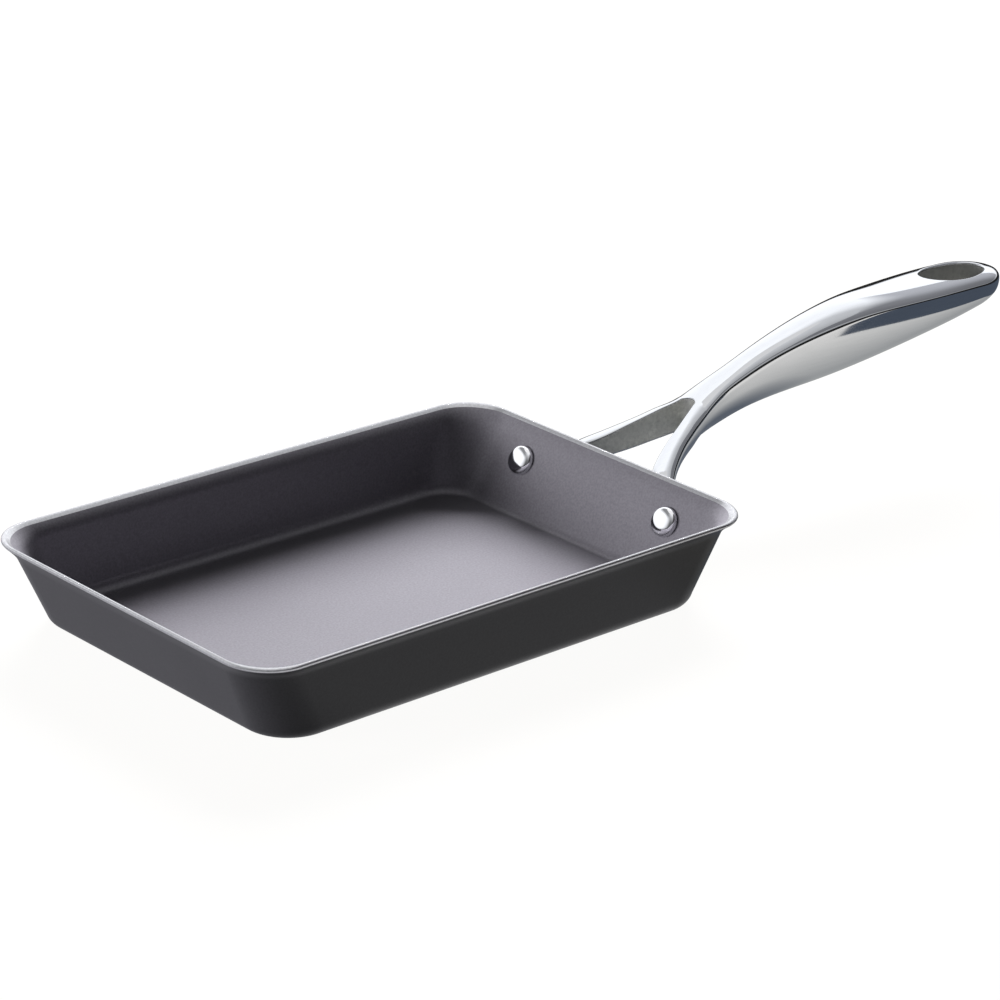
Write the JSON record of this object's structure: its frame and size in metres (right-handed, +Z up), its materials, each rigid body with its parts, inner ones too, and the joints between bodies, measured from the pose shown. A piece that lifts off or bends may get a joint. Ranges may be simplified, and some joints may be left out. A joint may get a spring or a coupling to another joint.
{
  "type": "rectangular omelette pan",
  "caption": "Long shallow rectangular sheet-iron pan for rolled omelette, with a forked polished cast handle riveted to one end wall and a hanging hole at its tip.",
  "frame": {"origin": "centre of the tray's flat underside", "axes": "+X along the tray towards the handle, +Y across the tray, +Z up out of the tray"},
  "size_m": [0.375, 0.127, 0.0577],
  "materials": {
    "iron": "matte heat-treated sheet iron with a very fine grain",
    "polished_steel": "mirror-polished cast stainless steel, left rough inside the fork and the hanging hole",
    "rivet_steel": "polished round heads"
  },
  "bodies": {
    "root": {"pan_body": "iron", "handle": "polished_steel", "rivet_left": "rivet_steel", "rivet_right": "rivet_steel"}
  },
  "joints": []
}
